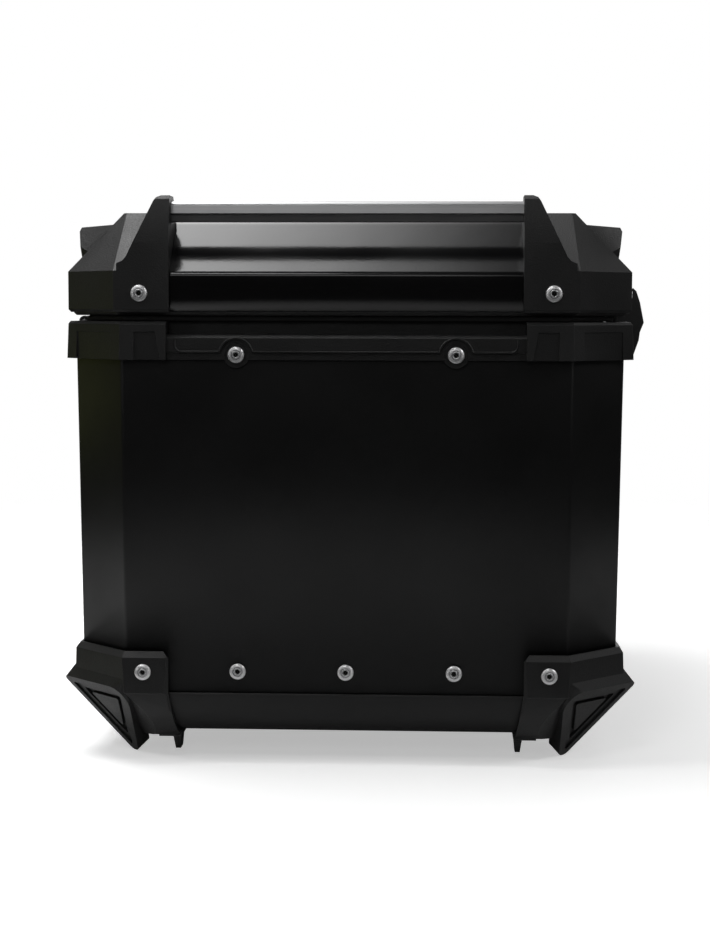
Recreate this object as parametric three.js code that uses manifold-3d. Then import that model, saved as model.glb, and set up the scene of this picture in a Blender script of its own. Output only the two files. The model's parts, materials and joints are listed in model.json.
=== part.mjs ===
// Aluminium motorcycle top case: octagonal body, plastic corner guards, hinged lid with side
// rails, and a lever latch. Millimetres, +Z up, origin at the centre of the floor's underside.
// +X is the latch side (rear of the motorcycle), -X the hinge side, -Y the left side.
import * as THREE from 'three';
import { mergeVertices } from 'three/addons/utils/BufferGeometryUtils.js';
import { ConvexGeometry } from 'three/addons/geometries/ConvexGeometry.js';
import Module from 'manifold-3d';

const wasm = await Module();
wasm.setup();

// Plan outlines: half lengths and the cut of the 45 degree corners.
const BODY = { hx: 161.5, hy: 206, cut: 32 };
const LID = { hx: 162.4, hy: 209, cut: 30.7 };
const BLOCK = { hx: 165, hy: 212, cut: 32.2 };

const GAP = 0.3;                 // clearance between touching neighbours
const SHEET = 1.5;               // aluminium sheet
const TAPER = 2.5;               // how far each wall leans in from top to bottom

// Heights
const PAN_LIP_Z = 27.6;
const WALL_BOTTOM_Z = 28.3;
const WALL_TOP_Z = 232.6;
const RIM_BOTTOM_Z = 222;
const RIM_TOP_Z = 244;
const STRIP_TOP_Z = 236.5;
const LID_BOTTOM_Z = 247.4;
const SKIRT_BOTTOM_Z = 250;
const LID_CREASE_Z = 271.4;
const LID_TOP_Z = 302.5;
const BLOCK_CREASE_Z = 272.8;
const BLOCK_TOP_Z = 307;
const FOOT_Z = -14.2;

// Corner pieces start here, measured from the centre along X and along Y.
const GUARD_START = { x: 103.5, y: 149 };
const CAP_START = { x: 103, y: 148.5 };
const BLOCK_START = { x: 101, y: 146.5 };

// Rivets on the left and right faces
const RIVET = { head: 4.75, shank: 2.3, hole: 2.6 };
const LOWER_RIVET_Z = 40.4;
const WALL_RIVET_X = 63;
const CORNER_RIVET_X = 118;
const STRIP_RIVET_Z = 225;
const LID_RIVET_Z = 260;

// Hinges, stays and latch
const HINGE_AXIS = { x: -165, z: 243.5 };
const HINGE_Y = 100;
const STAY = { bodyZ: 233, lidZ: 253, foldZ: 243, anchorX: -105, foldX: -55, y: 184.7 };
const STAY_THICKNESS = 2;
const STAY_BOSS_RADIUS = 4;
const LEVER_PIVOT = { x: 172.5, z: 224.5 };
const CLAW_PIVOT = { x: 176.8, z: 240.5 };
const LOCK = { x: 183.6, z: 250, radius: 5.9 };

const MATERIALS = {
  coatedSheet: { color: 0x0d0d0d, roughness: 0.55, metalness: 0.4 },
  coatedLid: { color: 0x0c0c0c, roughness: 0.3, metalness: 0.4 },
  grainedPlastic: { color: 0x151515, roughness: 0.6, metalness: 0 },
  rail: { color: 0x6f7072, roughness: 0.35, metalness: 0.9 },
  rivet: { color: 0xd8d8d8, roughness: 0.25, metalness: 1 },
  blackSteel: { color: 0x1b1b1c, roughness: 0.45, metalness: 0.7 },
  brightSteel: { color: 0xb4b5b6, roughness: 0.3, metalness: 1 },
  rubber: { color: 0x101010, roughness: 0.85, metalness: 0 },
  lining: { color: 0x2a2a2c, roughness: 0.95, metalness: 0 },
};

const topCase = new THREE.Group();
const body = new THREE.Group();
const lid = new THREE.Group();
topCase.add(body, lid);

// ---------------------------------------------------------------- geometry helpers

// Corner inset that leaves an octagon with the given cut when its sides are set in.
function cornerInsetFor(base, inset, leftCut) {
  return (leftCut - base.cut + 2 * inset) / Math.SQRT2;
}

// Corners of an octagon, counter-clockwise from above. Its left and right sides are set in by
// `inset`, its 45 degree corners by `cornerInset` and its ends by `endInset`.
function octagon(base, inset, cornerInset = inset, endInset = inset) {
  const x = base.hx - endInset;
  const y = base.hy - inset;
  const reach = base.hx + base.hy - base.cut - Math.SQRT2 * cornerInset;
  const yAtEnd = reach - x;
  const xAtSide = reach - y;
  return [
    [x, -yAtEnd], [x, yAtEnd], [xAtSide, y], [-xAtSide, y],
    [-x, yAtEnd], [-x, -yAtEnd], [-xAtSide, -y], [xAtSide, -y],
  ];
}

// Joins octagons, one for each [inset, z, cornerInset, endInset] level, into a solid. A ring returns
// from its last level to its first; a stack is closed by its first and last octagons.
function loft(base, levels, isRing = false) {
  const positions = [];
  for (const [inset, z, cornerInset, endInset] of levels) {
    for (const [x, y] of octagon(base, inset, cornerInset, endInset)) {
      positions.push(x, y, z);
    }
  }
  const index = [];
  const bands = isRing ? levels.length : levels.length - 1;
  for (let band = 0; band < bands; band += 1) {
    const low = band * 8;
    const high = ((band + 1) % levels.length) * 8;
    for (let side = 0; side < 8; side += 1) {
      const next = (side + 1) % 8;
      index.push(low + side, low + next, high + next);
      index.push(low + side, high + next, high + side);
    }
  }
  if (!isRing) {
    const top = (levels.length - 1) * 8;
    for (let side = 1; side < 7; side += 1) {
      index.push(0, side + 1, side);
      index.push(top, top + side, top + side + 1);
    }
  }
  const geometry = new THREE.BufferGeometry();
  geometry.setAttribute('position', new THREE.Float32BufferAttribute(positions, 3));
  geometry.setIndex(index);
  return geometry;
}

function extrude(outline, depth) {
  const shape = new THREE.Shape(outline.map(([u, v]) => new THREE.Vector2(u, v)));
  return new THREE.ExtrudeGeometry(shape, { depth, bevelEnabled: false, steps: 1 });
}

// Straight bars of an (x, z) outline from y0 to y1, of a (y, z) outline from x0 to x1 and of
// an (x, y) outline from z0 to z1.
function barAlongY(outline, y0, y1) {
  return extrude(outline, y1 - y0).rotateX(Math.PI / 2).translate(0, y1, 0);
}

function barAlongX(outline, x0, x1) {
  const turn = new THREE.Matrix4().makeBasis(
    new THREE.Vector3(0, 1, 0), new THREE.Vector3(0, 0, 1), new THREE.Vector3(1, 0, 0));
  return extrude(outline, x1 - x0).applyMatrix4(turn).translate(x0, 0, 0);
}

function barAlongZ(outline, z0, z1) {
  return extrude(outline, z1 - z0).translate(0, 0, z0);
}

function box(x0, x1, y0, y1, z0, z1) {
  return barAlongZ([[x0, y0], [x1, y0], [x1, y1], [x0, y1]], z0, z1);
}

function hull(points) {
  return new ConvexGeometry(points.map(([x, y, z]) => new THREE.Vector3(x, y, z)));
}

// A cylinder along Y, X or Z, centred on a point.
function rod(axis, radius, length, centre, segments = 12) {
  const geometry = new THREE.CylinderGeometry(radius, radius, length, segments);
  if (axis === 'x') {
    geometry.rotateZ(Math.PI / 2);
  }
  if (axis === 'z') {
    geometry.rotateX(Math.PI / 2);
  }
  return geometry.translate(...centre);
}

function solid(geometry) {
  const bare = geometry.clone();
  bare.deleteAttribute('normal');
  bare.deleteAttribute('uv');
  const merged = mergeVertices(bare, 1e-4);
  return new wasm.Manifold(new wasm.Mesh({
    numProp: 3,
    vertProperties: new Float32Array(merged.attributes.position.array),
    triVerts: new Uint32Array(merged.index.array),
  }));
}

function geometryOf(manifold) {
  const mesh = manifold.getMesh();
  const geometry = new THREE.BufferGeometry();
  geometry.setAttribute('position', new THREE.Float32BufferAttribute(mesh.vertProperties, 3));
  geometry.setIndex(new THREE.Uint32BufferAttribute(mesh.triVerts, 1));
  return geometry;
}

function join(...geometries) {
  const parts = geometries.map(solid);
  return geometryOf(parts.reduce((whole, part) => whole.add(part)));
}

function cut(geometry, ...tools) {
  return geometryOf(tools.map(solid).reduce((rest, tool) => rest.subtract(tool), solid(geometry)));
}

function common(geometry, other) {
  return geometryOf(solid(geometry).intersect(solid(other)));
}

// Mirrors a piece made for the +X +Y corner into the corner with the given signs.
function mirrored(geometry, signX, signY) {
  const copy = (geometry.index ? geometry.toNonIndexed() : geometry.clone());
  copy.scale(signX, signY, 1);
  if (signX * signY < 0) {
    const points = copy.attributes.position;
    const held = new THREE.Vector3();
    const moved = new THREE.Vector3();
    for (let first = 0; first < points.count; first += 3) {
      held.fromBufferAttribute(points, first + 1);
      moved.fromBufferAttribute(points, first + 2);
      points.setXYZ(first + 1, moved.x, moved.y, moved.z);
      points.setXYZ(first + 2, held.x, held.y, held.z);
    }
  }
  copy.deleteAttribute('normal');
  return copy;
}

function place(group, name, geometry, look, position = [0, 0, 0], rotation = [0, 0, 0]) {
  const flat = geometry.index ? geometry.toNonIndexed() : geometry;
  flat.computeVertexNormals();
  const mesh = new THREE.Mesh(flat, new THREE.MeshStandardMaterial(MATERIALS[look]));
  mesh.name = name;
  mesh.position.set(...position);
  mesh.rotation.set(...rotation);
  group.add(mesh);
}

// Calls make(signX, signY, suffix) for the four corners.
function forCorners(make) {
  for (const [signX, end] of [[-1, 'front'], [1, 'rear']]) {
    for (const [signY, side] of [[-1, 'left'], [1, 'right']]) {
      make(signX, signY, `${end}_${side}`);
    }
  }
}

// ---------------------------------------------------------------- body

const PAN_FLOOR_Z = 1;           // the floor around the rack pad, whose underside is at z = 0
const PAD_INSET = 68;
const PAN_ROLL_RADIUS = 26;
const PAN_ROLL_STEPS = 5;
const PAN_SIDE_INSET = 1.7;
const PAN_END_ROUNDNESS = 0.45;
const CORNER_SLOPE = 0.8205;     // set-in of the bottom corners for each mm of depth
const RING_INSET = TAPER + SHEET + GAP;

function wallInset(z) {
  const share = (RIM_BOTTOM_Z - z) / (RIM_BOTTOM_Z - PAN_LIP_Z);
  return TAPER * Math.min(1, Math.max(0, share));
}

// Levels up the rolled lower edge of the floor pan, at `grow` mm outside its surface. The left
// and right sides are quarter circles; the ends are flatter, part way to a 45 degree chamfer.
function panRoll(grow) {
  const levels = [];
  const top = PAN_FLOOR_Z + PAN_ROLL_RADIUS;
  for (let step = 0; step <= PAN_ROLL_STEPS; step += 1) {
    const angle = (Math.PI / 2) * (step / PAN_ROLL_STEPS);
    const radius = PAN_ROLL_RADIUS + grow;
    const z = top - radius * Math.cos(angle);
    const round = PAN_SIDE_INSET + PAN_ROLL_RADIUS - radius * Math.sin(angle);
    const chamfer = PAN_SIDE_INSET + top - z - Math.SQRT2 * grow;
    const cornerInset = 2.3 + (top - z) * CORNER_SLOPE - 1.3 * grow;
    levels.push([round, z, cornerInset, PAN_END_ROUNDNESS * round + (1 - PAN_END_ROUNDNESS) * chamfer]);
  }
  return levels;
}

// Round bosses on the left and right that the lid stays pivot on.
function stayBosses(z, fromY, toY) {
  return [-1, 1].map((sign) => {
    const centre = [STAY.anchorX, (sign * (fromY + toY)) / 2, z];
    return rod('y', STAY_BOSS_RADIUS, toY - fromY, centre);
  });
}

function rivetHoles(places, faceY) {
  const holes = [];
  for (const [x, z] of places) {
    for (const sign of [-1, 1]) {
      holes.push(rod('y', RIVET.hole, 30, [x, sign * faceY, z]));
    }
  }
  return holes;
}

const lowerRivets = [-CORNER_RIVET_X, -WALL_RIVET_X, 0, WALL_RIVET_X, CORNER_RIVET_X]
  .map((x) => [x, LOWER_RIVET_Z]);
const stripRivets = [-WALL_RIVET_X, WALL_RIVET_X].map((x) => [x, STRIP_RIVET_Z]);
const lidRivets = [-CORNER_RIVET_X, CORNER_RIVET_X].map((x) => [x, LID_RIVET_Z]);
const RACK_BOLTS = [[-55, -80], [-55, 80], [55, -80], [55, 80]];
const RACK_BOLT_RADIUS = 3.3;

function bodyWall() {
  const shell = loft(BODY, [
    [wallInset(WALL_BOTTOM_Z), WALL_BOTTOM_Z],
    [0, RIM_BOTTOM_Z],
    [0, WALL_TOP_Z],
    [SHEET, WALL_TOP_Z],
    [SHEET, RIM_BOTTOM_Z],
    [wallInset(WALL_BOTTOM_Z) + SHEET, WALL_BOTTOM_Z],
  ], true);
  return cut(shell, ...rivetHoles([...lowerRivets, ...stripRivets], BODY.hy));
}

function floorPan() {
  const outer = panRoll(0);
  const inner = panRoll(-SHEET).reverse();
  const levels = [
    [PAD_INSET + 1, 0],
    [PAD_INSET, PAN_FLOOR_Z],
    ...outer,
    [PAN_SIDE_INSET + 0.4, PAN_LIP_Z],
    [PAN_SIDE_INSET + SHEET, PAN_LIP_Z],
    ...inner,
    [PAD_INSET, PAN_FLOOR_Z + SHEET],
    [PAD_INSET + 1, SHEET],
  ];
  const bolts = RACK_BOLTS.map(([x, y]) => rod('z', RACK_BOLT_RADIUS, 20, [x, y, 0]));
  return cut(loft(BODY, levels), ...bolts);
}

// The ring inside the pan's lip that the wall is riveted to.
function floorRing() {
  const [low, high, corner] = [26, 50, 6];
  const ring = loft(BODY, [
    [RING_INSET, low, corner], [RING_INSET, high, corner],
    [RING_INSET + SHEET, high, corner + SHEET], [RING_INSET + SHEET, low, corner + SHEET],
  ], true);
  return cut(ring, ...rivetHoles(lowerRivets, BODY.hy));
}

function floorPlate() {
  const plate = box(-80, 80, -110, 110, SHEET + GAP, SHEET + GAP + 2);
  return cut(plate, ...RACK_BOLTS.map(([x, y]) => rod('z', RACK_BOLT_RADIUS, 20, [x, y, 0])));
}

const TAB = 1;                   // thickness of the rim under a rivet head

// The rim channel stands on the wall's top edge; its inner upstand meets the lid's seal.
function rimFrame() {
  const ring = loft(BODY, [
    [-1.9, RIM_BOTTOM_Z, -1.2], [-1.9, 226.2, -1.2], [-3.2, 226.9, -1.9], [-3.2, 234.6, -1.9],
    [-1.2, STRIP_TOP_Z, -0.8], [9.5, STRIP_TOP_Z], [9.5, RIM_TOP_Z], [13.5, RIM_TOP_Z], [13.5, 226],
    [SHEET + GAP, 226], [SHEET + GAP, 233], [-GAP, 233], [-GAP, RIM_BOTTOM_Z],
  ], true);
  const tabs = [];
  const pockets = [];
  const innerFace = BODY.hy + GAP;
  for (const [x, z] of stripRivets) {
    for (const sign of [-1, 1]) {
      tabs.push(rod('y', 7.6, TAB, [x, sign * (innerFace + TAB / 2), z], 20));
      pockets.push(rod('y', 6.6, 10, [x, sign * (innerFace + TAB + 5), z], 20));
      pockets.push(rod('y', 9.2, 10, [x, sign * (BODY.hy + 1.9 + 5), z], 24));
    }
  }
  const bosses = stayBosses(STAY.bodyZ, STAY.y + STAY_THICKNESS + GAP, 196);
  return cut(join(ring, ...tabs, ...bosses), ...pockets, ...rivetHoles(stripRivets, BODY.hy - 6));
}

function cornerBox(start, z0, z1) {
  return box(start.x, BLOCK.hx + 20, start.y, BLOCK.hy + 20, z0, z1);
}

// A slab that faces the 45 degree corner: `half` wide each way, from `near` to `far` outwards.
function cornerSlab(base, half, near, far, z0, z1) {
  const slab = box(near, far, -half, half, z0, z1).rotateZ(Math.PI / 4);
  return slab.translate(base.hx - base.cut / 2, base.hy - base.cut / 2, 0);
}

function rimCornerCap() {
  const ring = loft(BODY, [
    [-5.6, RIM_BOTTOM_Z, -4.2], [-4.8, 242.4, -3.4], [-3.4, RIM_TOP_Z, -2.4],
    [9.2, RIM_TOP_Z], [9.2, STRIP_TOP_Z + GAP], [-1.1, STRIP_TOP_Z + GAP, -0.7],
    [-3.5, 234.8, -2.3], [-3.5, RIM_BOTTOM_Z, -2.3],
  ], true);
  const corner = common(ring, cornerBox(CAP_START, 200, 260));
  const faceWindow = [[106, 220], [121.5, 220], [121.5, 238], [109.5, 238]];
  const sideWindow = [[152, 220], [167, 220], [167, 238], [155, 238]];
  return cut(
    corner,
    barAlongY(faceWindow, BODY.hy + 4.2, BODY.hy + 20),
    barAlongX(sideWindow, BODY.hx + 4.2, BODY.hx + 20),
    cornerSlab(BODY, 17, 3.1, 20, 220, 238),
  );
}

// ---------------------------------------------------------------- lower corner guards

const BUMPER = { out: 4.7, topZ: 30.6, down: 58.5, faceSide: 31.5, endSide: 34.2 };
const BUMPER_SLOPE = { out: 0.545, z: 0.838 };
const BUMPER_RADII = [10, 2.6, 4.6];     // corners towards the left/right face, the end, the foot

// Points of the bumper's triangular face with rounded corners, set in by `inset` mm, as
// [across, down] from the middle of its top edge.
function bumperOutline(inset, steps) {
  const corners = [
    new THREE.Vector2(BUMPER.faceSide, 0),
    new THREE.Vector2(-BUMPER.endSide, 0),
    new THREE.Vector2(0, -BUMPER.down),
  ];
  const points = [];
  corners.forEach((corner, index) => {
    const before = corners[(index + 2) % 3].clone().sub(corner).normalize();
    const after = corners[(index + 1) % 3].clone().sub(corner).normalize();
    const half = Math.acos(before.dot(after)) / 2;
    const bisector = before.clone().add(after).normalize();
    const radius = Math.max(1, BUMPER_RADII[index] - inset);
    const middle = corner.clone().addScaledVector(bisector, (radius + inset) / Math.sin(half));
    const start = Math.atan2(-bisector.y, -bisector.x);
    const sweep = Math.PI / 2 - half;
    for (let step = 0; step <= steps; step += 1) {
      const angle = start - sweep + (2 * sweep * step) / steps;
      const spoke = new THREE.Vector2(Math.cos(angle), Math.sin(angle));
      points.push(spoke.multiplyScalar(radius).add(middle));
    }
  });
  return points;
}

// Places a point of the bumper face: `across` along the corner, `down` the slope (negative is
// down), `depth` behind the face.
function onBumper(across, down, depth) {
  const out = BUMPER.out + down * BUMPER_SLOPE.out - depth * BUMPER_SLOPE.z;
  const z = BUMPER.topZ + down * BUMPER_SLOPE.z + depth * BUMPER_SLOPE.out;
  const midX = BODY.hx - BODY.cut / 2;
  const midY = BODY.hy - BODY.cut / 2;
  return [midX + (out - across) * Math.SQRT1_2, midY + (out + across) * Math.SQRT1_2, z];
}

// The bumper's face set in by `inset`, between two depths behind it.
function bumperPrism(inset, near, far, steps) {
  const outline = bumperOutline(inset, steps);
  return [near, far].flatMap((depth) => outline.map((p) => onBumper(p.x, p.y, depth)));
}

function guardProfile() {
  const outer = panRoll(3.7).map(([inset, z, cornerInset, endInset]) => (
    [inset, z, CORNER_SLOPE * (BUMPER.topZ - z) - 3.2, endInset]));
  return loft(BODY, [...outer, [-2.9, 28, -1.6], [-2.0, 48.6], [0.6, 52]]);
}

// Everything that stands inside the guards, grown by the clearance.
function guardClearance() {
  return loft(BODY, [...panRoll(GAP + 0.05), [1.3, 30, 1.6], [1.9, 60]]);
}

// Outline of the guard's flap on a face: [along the face, z], spreading under the roll.
function flapOutline(start) {
  return [
    [300, -20], [start - 6, -20], [start - 4.5, 0], [start, 28], [start, 48], [start + 3.8, 53],
    [300, 53],
  ];
}

function cornerGuard() {
  const { x, y } = GUARD_START;
  const low = x - 5;
  const plan = [
    [x + 3, 300], [x + 3, 209.8], [x, 206.8], [low, 203], [low, 158], [118, y - 5], [155, y - 5],
    [161.8, y], [165, y + 3], [300, y + 3], [300, 300],
  ];
  const region = common(
    barAlongZ(plan, -4, 60),
    common(barAlongY(flapOutline(x), 0, 300), barAlongX(flapOutline(y), 0, 300)),
  );
  const shell = common(guardProfile(), region);
  const ledge = [
    [BODY.hx + 2.4, BODY.hy - 34, 38.8], [BODY.hx - 34, BODY.hy + 2.4, 38.8],
    [BODY.hx - 3, BODY.hy - 35, 37], [BODY.hx - 35, BODY.hy - 3, 37],
  ];
  const bumper = common(
    hull([...bumperPrism(0, 0, 10, 5), ...ledge]),
    box(0, 300, 0, 300, FOOT_Z, 100),
  );
  const recess = hull(bumperPrism(4.2, -1, 1.3, 3));
  const groove = cut(hull(bumperPrism(8.2, 0, 3, 3)), hull(bumperPrism(11.2, -1, 4, 3)));
  const lip = hull([
    [98.6, 172, 0], [104, 172, 0], [98.6, 186, 0], [104, 186, 0],
    [99.6, 172, -10.6], [102.6, 172, -10.6], [99.6, 182, -10.6], [102.6, 182, -10.6],
  ]);
  const plate = box(98.6, 112, 160, 186, -2.6, 0.5);
  return cut(
    join(shell, bumper, plate, lip),
    recess, groove, guardClearance(),
    rod('y', RIVET.hole, 30, [CORNER_RIVET_X, BODY.hy, LOWER_RIVET_Z]),
  );
}

// ---------------------------------------------------------------- lid

const LID_SLOPE_INSET = 31.3;
const LID_TOP_CORNER = cornerInsetFor(LID, LID_SLOPE_INSET, 2);
const BLOCK_SLOPE_INSET = 33;
const BLOCK_TOP_CUT = 2;
const BLOCK_TOP_CORNER = cornerInsetFor(BLOCK, BLOCK_SLOPE_INSET, BLOCK_TOP_CUT);
const LINER_INSET = LID_SLOPE_INSET + 9;

function lidShell() {
  const outside = loft(LID, [
    [0, SKIRT_BOTTOM_Z],
    [0, LID_CREASE_Z],
    [LID_SLOPE_INSET, LID_TOP_Z, LID_TOP_CORNER],
  ]);
  const hollow = loft(LID, [
    [SHEET, SKIRT_BOTTOM_Z - 5],
    [SHEET, LID_CREASE_Z - 0.6],
    [LID_SLOPE_INSET + 0.6, LID_TOP_Z - SHEET, LID_TOP_CORNER + 0.8],
  ]);
  return cut(outside, hollow, ...rivetHoles(lidRivets, LID.hy));
}

function lidFrame() {
  const ring = loft(LID, [
    [1.8, LID_BOTTOM_Z], [0.3, 248.9], [0.3, 249.6], [1.8, 249.6], [1.8, 262], [3.8, 262],
    [3.8, 250.6], [17, 250.6], [17, LID_BOTTOM_Z],
  ], true);
  const bosses = stayBosses(STAY.lidZ, STAY.y, 196);
  return cut(join(ring, ...bosses), ...rivetHoles(lidRivets, LID.hy));
}

const SEAL_INSET = 7.5;
const SEAL_WIDTH = 7.9;

function lidSeal() {
  const inner = SEAL_INSET + SEAL_WIDTH;
  return loft(LID, [
    [SEAL_INSET, RIM_TOP_Z + GAP], [SEAL_INSET, LID_BOTTOM_Z - GAP], [inner, LID_BOTTOM_Z - GAP],
    [inner, RIM_TOP_Z + GAP],
  ], true);
}

function lidLiner() {
  return loft(LID, [
    [LINER_INSET, LID_TOP_Z - SHEET - 6.5, cornerInsetFor(LID, LINER_INSET, 8)],
    [LINER_INSET - 3, LID_TOP_Z - SHEET - 2.5, cornerInsetFor(LID, LINER_INSET - 3, 8)],
  ]);
}

const RAIL = { y0: 192.5, y1: 201.5, z0: 300.9, z1: 312.7, half: 104.5 };

function railOutline(grow) {
  const { y0, y1, z0, z1 } = RAIL;
  return [
    [y0 - grow, z0 - grow], [y1 - 2.2 + grow, z0 - grow], [y1 - 2 + grow, z0 + 4],
    [y1 + grow, z0 + 4.4], [y1 - 1.2 + grow, z1 - 1.8], [y1 - 3 + grow, z1 + grow], [y0 - grow, z1 + grow],
  ];
}

function sideRail() {
  return barAlongX(railOutline(0), -RAIL.half, RAIL.half);
}

// The side of a horn's face where its material lies. The face meets the block's corner slope along
// the slope's outer edge and turns more towards the left or right side than the slope does.
function hornSide() {
  const foot = [BLOCK.hx, BLOCK.hy - BLOCK.cut, BLOCK_CREASE_Z];
  const head = [BLOCK.hx - BLOCK_SLOPE_INSET, BLOCK.hy - BLOCK_SLOPE_INSET - BLOCK_TOP_CUT, BLOCK_TOP_Z];
  const corners = [];
  for (const along of [-0.6, 1.6]) {
    for (const outward of [-30, 40]) {
      const [x, y, z] = foot.map((value, axis) => value + (head[axis] - value) * along);
      corners.push([x + outward, y - outward, z + outward], [x + outward, 100, z + outward]);
    }
  }
  return hull(corners);
}

// Lid corner block for the +X +Y corner: corner cover, rail post and tie-down horn.
function lidCornerBlock() {
  const cover = common(
    loft(BLOCK, [
      [1.4, SKIRT_BOTTOM_Z - 0.8], [0, SKIRT_BOTTOM_Z + 0.8], [0, BLOCK_CREASE_Z],
      [BLOCK_SLOPE_INSET, BLOCK_TOP_Z, BLOCK_TOP_CORNER],
    ]),
    cornerBox(BLOCK_START, 240, 320),
  );
  const postFront = [
    [101, SKIRT_BOTTOM_Z + 3], [132.6, SKIRT_BOTTOM_Z + 3], [132.6, 274.2], [131, 277], [127.4, 278.6],
    [125.4, 281], [122, 288], [110.4, 312.4], [108.8, 314.7], [106, 315.8], [101, 315.8],
  ];
  const postSide = [
    [196, 250], [BLOCK.hy, 250], [BLOCK.hy, 289], [206.6, 313.6], [204.6, 315.8], [190.4, 315.8],
    [188.4, 313.8], [184, 298], [184, 280],
  ];
  const post = common(barAlongY(postFront, 185, 214), barAlongX(postSide, 100, 131));
  const horn = common(
    hull([
      [132, 149, 300.7], [132, 190, 300.7], [158.7, 149, 299.1], [158.7, 175, 299.1], [159.9, 149.6, 296.7],
      [159.9, 175, 296.7], [157.5, 149, 280.8], [157.5, 175, 280.8], [140, 149, 284], [140, 190, 284],
    ]),
    hornSide(),
  );
  const clearance = loft(LID, [
    [-GAP, 240], [-GAP, LID_CREASE_Z + 0.2],
    [LID_SLOPE_INSET - 0.1, LID_TOP_Z + GAP, LID_TOP_CORNER - 0.1],
  ]);
  const topTrim = barAlongZ([[60, 100], [160, 100], [101, 196], [60, 196]], LID_TOP_Z, 340);
  const pocket = barAlongX(railOutline(GAP), 90, RAIL.half + GAP);
  return cut(
    cut(join(cover, post, horn), clearance),
    cut(topTrim, post),
    pocket,
    rod('y', RIVET.hole, 30, [CORNER_RIVET_X, BLOCK.hy, LID_RIVET_Z]),
  );
}

// ---------------------------------------------------------------- rivets

// A blind rivet along +Z with its head's underside at z = 0 and its stem going down.
function rivet(grip) {
  const profile = [
    [0, 1.3], [1.2, 1.5], [1.3, 2.0], [2.6, 2.0], [4.1, 1.3], [RIVET.head, 0.5],
    [RIVET.head, 0], [RIVET.shank, 0], [RIVET.shank, -grip], [0, -grip],
  ].reverse().map(([r, z]) => new THREE.Vector2(r, z));
  return new THREE.LatheGeometry(profile, 12).rotateX(Math.PI / 2);
}

function addRivets(group, name, places, faceY, grip) {
  for (const [sign, side] of [[-1, 'left'], [1, 'right']]) {
    places.forEach(([x, z], index) => {
      const turn = [(-sign * Math.PI) / 2, 0, 0];
      place(group, `${name}_${side}_${index + 1}`, rivet(grip), 'rivet', [x, sign * (faceY + GAP), z], turn);
    });
  }
}

// ---------------------------------------------------------------- hinges

const KNUCKLE = 3.5;
const KNUCKLE_BORE = 1.85;
const PIN_RADIUS = 1.5;
const HINGE_HALF = 30;
const HINGE_MIDDLE = 15;

// Hinge leaves are drawn about the hinge axis, with -X outwards.
function bodyLeaf() {
  const plate = barAlongY([[-1.9, -20], [-GAP, -20], [-GAP, 0], [-1.9, 0]], -HINGE_HALF, HINGE_HALF);
  const barrel = rod('y', KNUCKLE, 2 * HINGE_HALF, [0, 0, 0], 16);
  const middle = box(-6, 6, -HINGE_MIDDLE - GAP, HINGE_MIDDLE + GAP, -4.2, 6);
  return cut(join(plate, barrel), middle, rod('y', KNUCKLE_BORE, 80, [0, 0, 0], 16));
}

function lidLeaf() {
  const plate = barAlongY([[0.5, 0], [2.3, 0], [2.3, 25], [0.5, 25]], -HINGE_HALF, HINGE_HALF);
  const barrel = rod('y', KNUCKLE, 2 * HINGE_MIDDLE, [0, 0, 0], 16);
  const ends = [-1, 1].map((sign) => {
    const near = sign * HINGE_MIDDLE;
    const far = sign * (HINGE_HALF + 10);
    return box(-6, 6, Math.min(near, far), Math.max(near, far), -6, KNUCKLE + GAP + 0.4);
  });
  return cut(join(plate, barrel), ...ends, rod('y', KNUCKLE_BORE, 80, [0, 0, 0], 16));
}

// ---------------------------------------------------------------- lid stays

// A flat link between two points of the XZ plane, 12 wide, with round ends.
function stayLink(x0, z0, x1, z1, thickness) {
  const shape = [];
  const angle = Math.atan2(z1 - z0, x1 - x0);
  for (const [x, z, turn] of [[x1, z1, -Math.PI / 2], [x0, z0, Math.PI / 2]]) {
    for (let step = 0; step <= 6; step += 1) {
      const at = angle + turn + (Math.PI * step) / 6;
      shape.push([x + 6 * Math.cos(at), z + 6 * Math.sin(at)]);
    }
  }
  return barAlongY(shape, 0, thickness);
}

// ---------------------------------------------------------------- latch

const LATCH_HALF = 45;

function latchBase() {
  const plate = box(165.1, 168.4, -LATCH_HALF, LATCH_HALF, 219.5, 236);
  const ears = [-1, 1].map((sign) => {
    const outline = [[166, 219.5], [174, 219.5], [177.4, 222], [177, 228], [171, 236], [166, 236]];
    const near = Math.min(sign * 41, sign * LATCH_HALF);
    return barAlongY(outline, near, near + 4);
  });
  const bore = rod('y', KNUCKLE_BORE, 120, [LEVER_PIVOT.x, 0, LEVER_PIVOT.z], 16);
  return cut(join(plate, ...ears), bore);
}

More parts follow.
